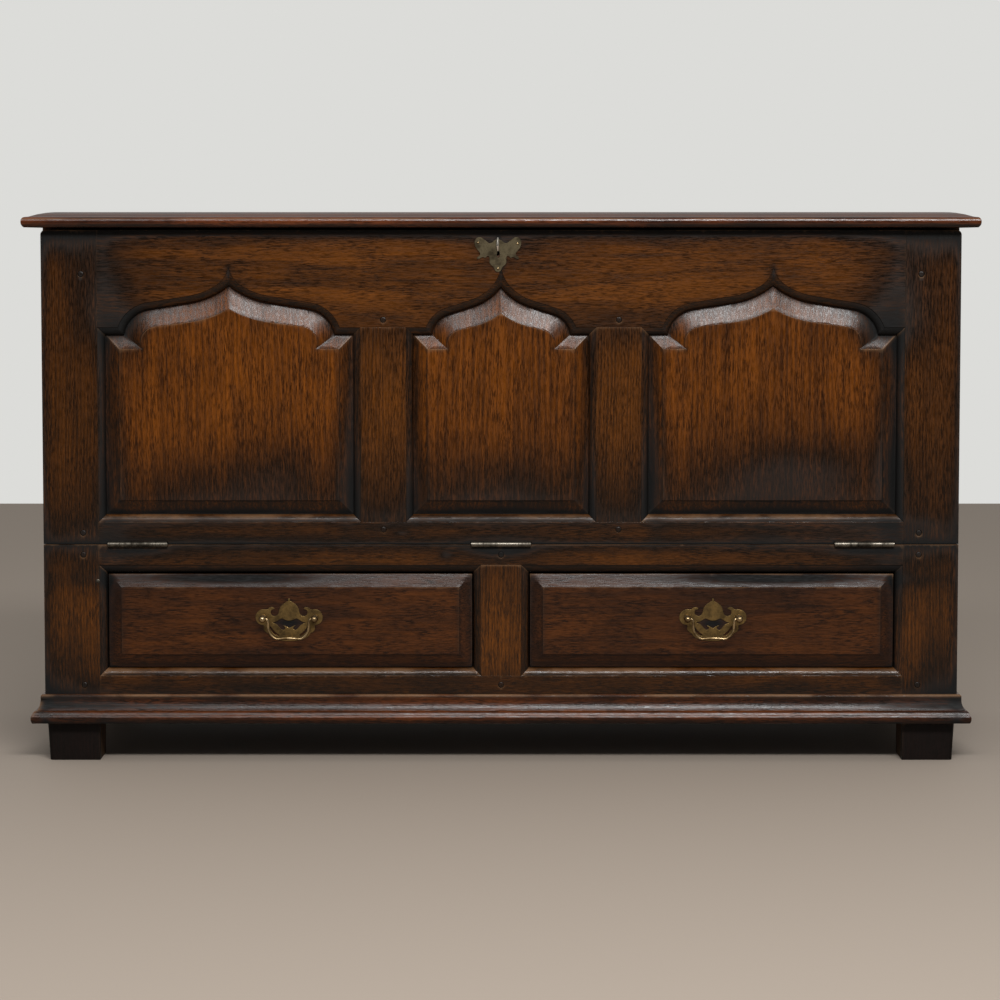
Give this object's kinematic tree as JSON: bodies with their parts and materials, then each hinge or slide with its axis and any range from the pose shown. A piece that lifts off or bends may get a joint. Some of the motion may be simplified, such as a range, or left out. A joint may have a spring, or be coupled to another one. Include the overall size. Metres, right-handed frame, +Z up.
{
  "type": "mule chest",
  "caption": "Oak mule chest: hinged lid, panelled fall front with cusped arches, two bevelled drawers with brass bail handles, moulded base on block feet.",
  "frame": {"origin": "centre of the bounding box in plan, at the level of the floor", "axes": "+X to the right along the length, front faces -Y, +Z up"},
  "size_m": [1.3904, 0.552, 0.8046],
  "materials": {
    "oak_frame": "waxed, open grain, dark patina at joints and mouldings",
    "oak_panel": "waxed, golden in the middle of the fields",
    "oak_drawer": "waxed, worn bevels",
    "oak_lid": "waxed, worn moulded edge",
    "oak_base": "waxed, dark",
    "oak_feet": "dark stained",
    "oak_inside": "dry, unpolished",
    "oak_peg": "end grain",
    "brass": "old, toned, worn bright on the raised parts",
    "hinge_metal": "worn",
    "lock_iron": "oxidised"
  },
  "bodies": {
    "root": {"left_front_post": "oak_frame", "right_front_post": "oak_frame", "left_rear_post": "oak_frame", "right_rear_post": "oak_frame", "left_end_bottom_rail": "oak_frame", "left_end_middle_rail": "oak_frame", "left_end_top_rail": "oak_frame", "left_end_panels": "oak_panel", "right_end_bottom_rail": "oak_frame", "right_end_middle_rail": "oak_frame", "right_end_top_rail": "oak_frame", "right_end_panels": "oak_panel", "back_rails": "oak_inside", "back_boards": "oak_inside", "upper_drawer_rail": "oak_frame", "drawer_divider": "oak_frame", "lower_drawer_rail": "oak_frame", "base_moulding": "oak_base", "feet": "oak_feet", "chest_floor": "oak_inside", "floor_bearers": "oak_inside", "drawer_runners": "oak_inside", "carcass_pegs": "oak_peg", "fall_hinge_lower_leaves": "hinge_metal", "fall_hinge_pins": "hinge_metal", "lid_hinge_lower_leaves": "hinge_metal", "lid_hinge_pins": "hinge_metal", "stay_guides": "brass"},
    "fall_front": {"fall_left_stile": "oak_frame", "fall_right_stile": "oak_frame", "fall_top_rail": "oak_frame", "fall_bottom_rail": "oak_frame", "fall_left_muntin": "oak_frame", "fall_right_muntin": "oak_frame", "fall_left_panel": "oak_panel", "fall_centre_panel": "oak_panel", "fall_right_panel": "oak_panel", "fall_pegs": "oak_peg", "escutcheon": "brass", "chest_lock": "lock_iron", "fall_hinge_upper_leaves": "hinge_metal", "fall_stays": "brass"},
    "lid": {"lid_boards": "oak_lid", "lid_cleats": "oak_inside", "lid_hinge_upper_leaves": "hinge_metal"},
    "left_drawer": {"left_drawer_front": "oak_drawer", "left_drawer_sides": "oak_inside", "left_drawer_back": "oak_inside", "left_drawer_bottom": "oak_inside", "left_handle_plate": "brass", "left_handle_posts": "brass"},
    "left_bail": {"left_bail_handle": "brass"},
    "right_drawer": {"right_drawer_front": "oak_drawer", "right_drawer_sides": "oak_inside", "right_drawer_back": "oak_inside", "right_drawer_bottom": "oak_inside", "right_handle_plate": "brass", "right_handle_posts": "brass"},
    "right_bail": {"right_bail_handle": "brass"}
  },
  "joints": [
    {"name": "lid_hinge", "type": "hinge", "parent": "root", "child": "lid", "pos_m": [0, 0.2716, 0.78205], "axis": [-1, 0, 0], "range_deg": [0, 98]},
    {"name": "fall_hinge", "type": "hinge", "parent": "root", "child": "fall_front", "pos_m": [0, -0.2534, 0.3197], "axis": [1, 0, 0], "range_deg": [0, 90]},
    {"name": "left_drawer_slide", "type": "slide", "parent": "root", "child": "left_drawer", "axis": [0, -1, 0], "range_m": [0, 0.4]},
    {"name": "right_drawer_slide", "type": "slide", "parent": "root", "child": "right_drawer", "axis": [0, -1, 0], "range_m": [0, 0.4]},
    {"name": "left_bail_swing", "type": "hinge", "parent": "left_drawer", "child": "left_bail", "pos_m": [-0.311, -0.2679, 0.2111], "axis": [-1, 0, 0], "range_deg": [0, 85]},
    {"name": "right_bail_swing", "type": "hinge", "parent": "right_drawer", "child": "right_bail", "pos_m": [0.311, -0.2679, 0.2111], "axis": [-1, 0, 0], "range_deg": [0, 85]}
  ]
}
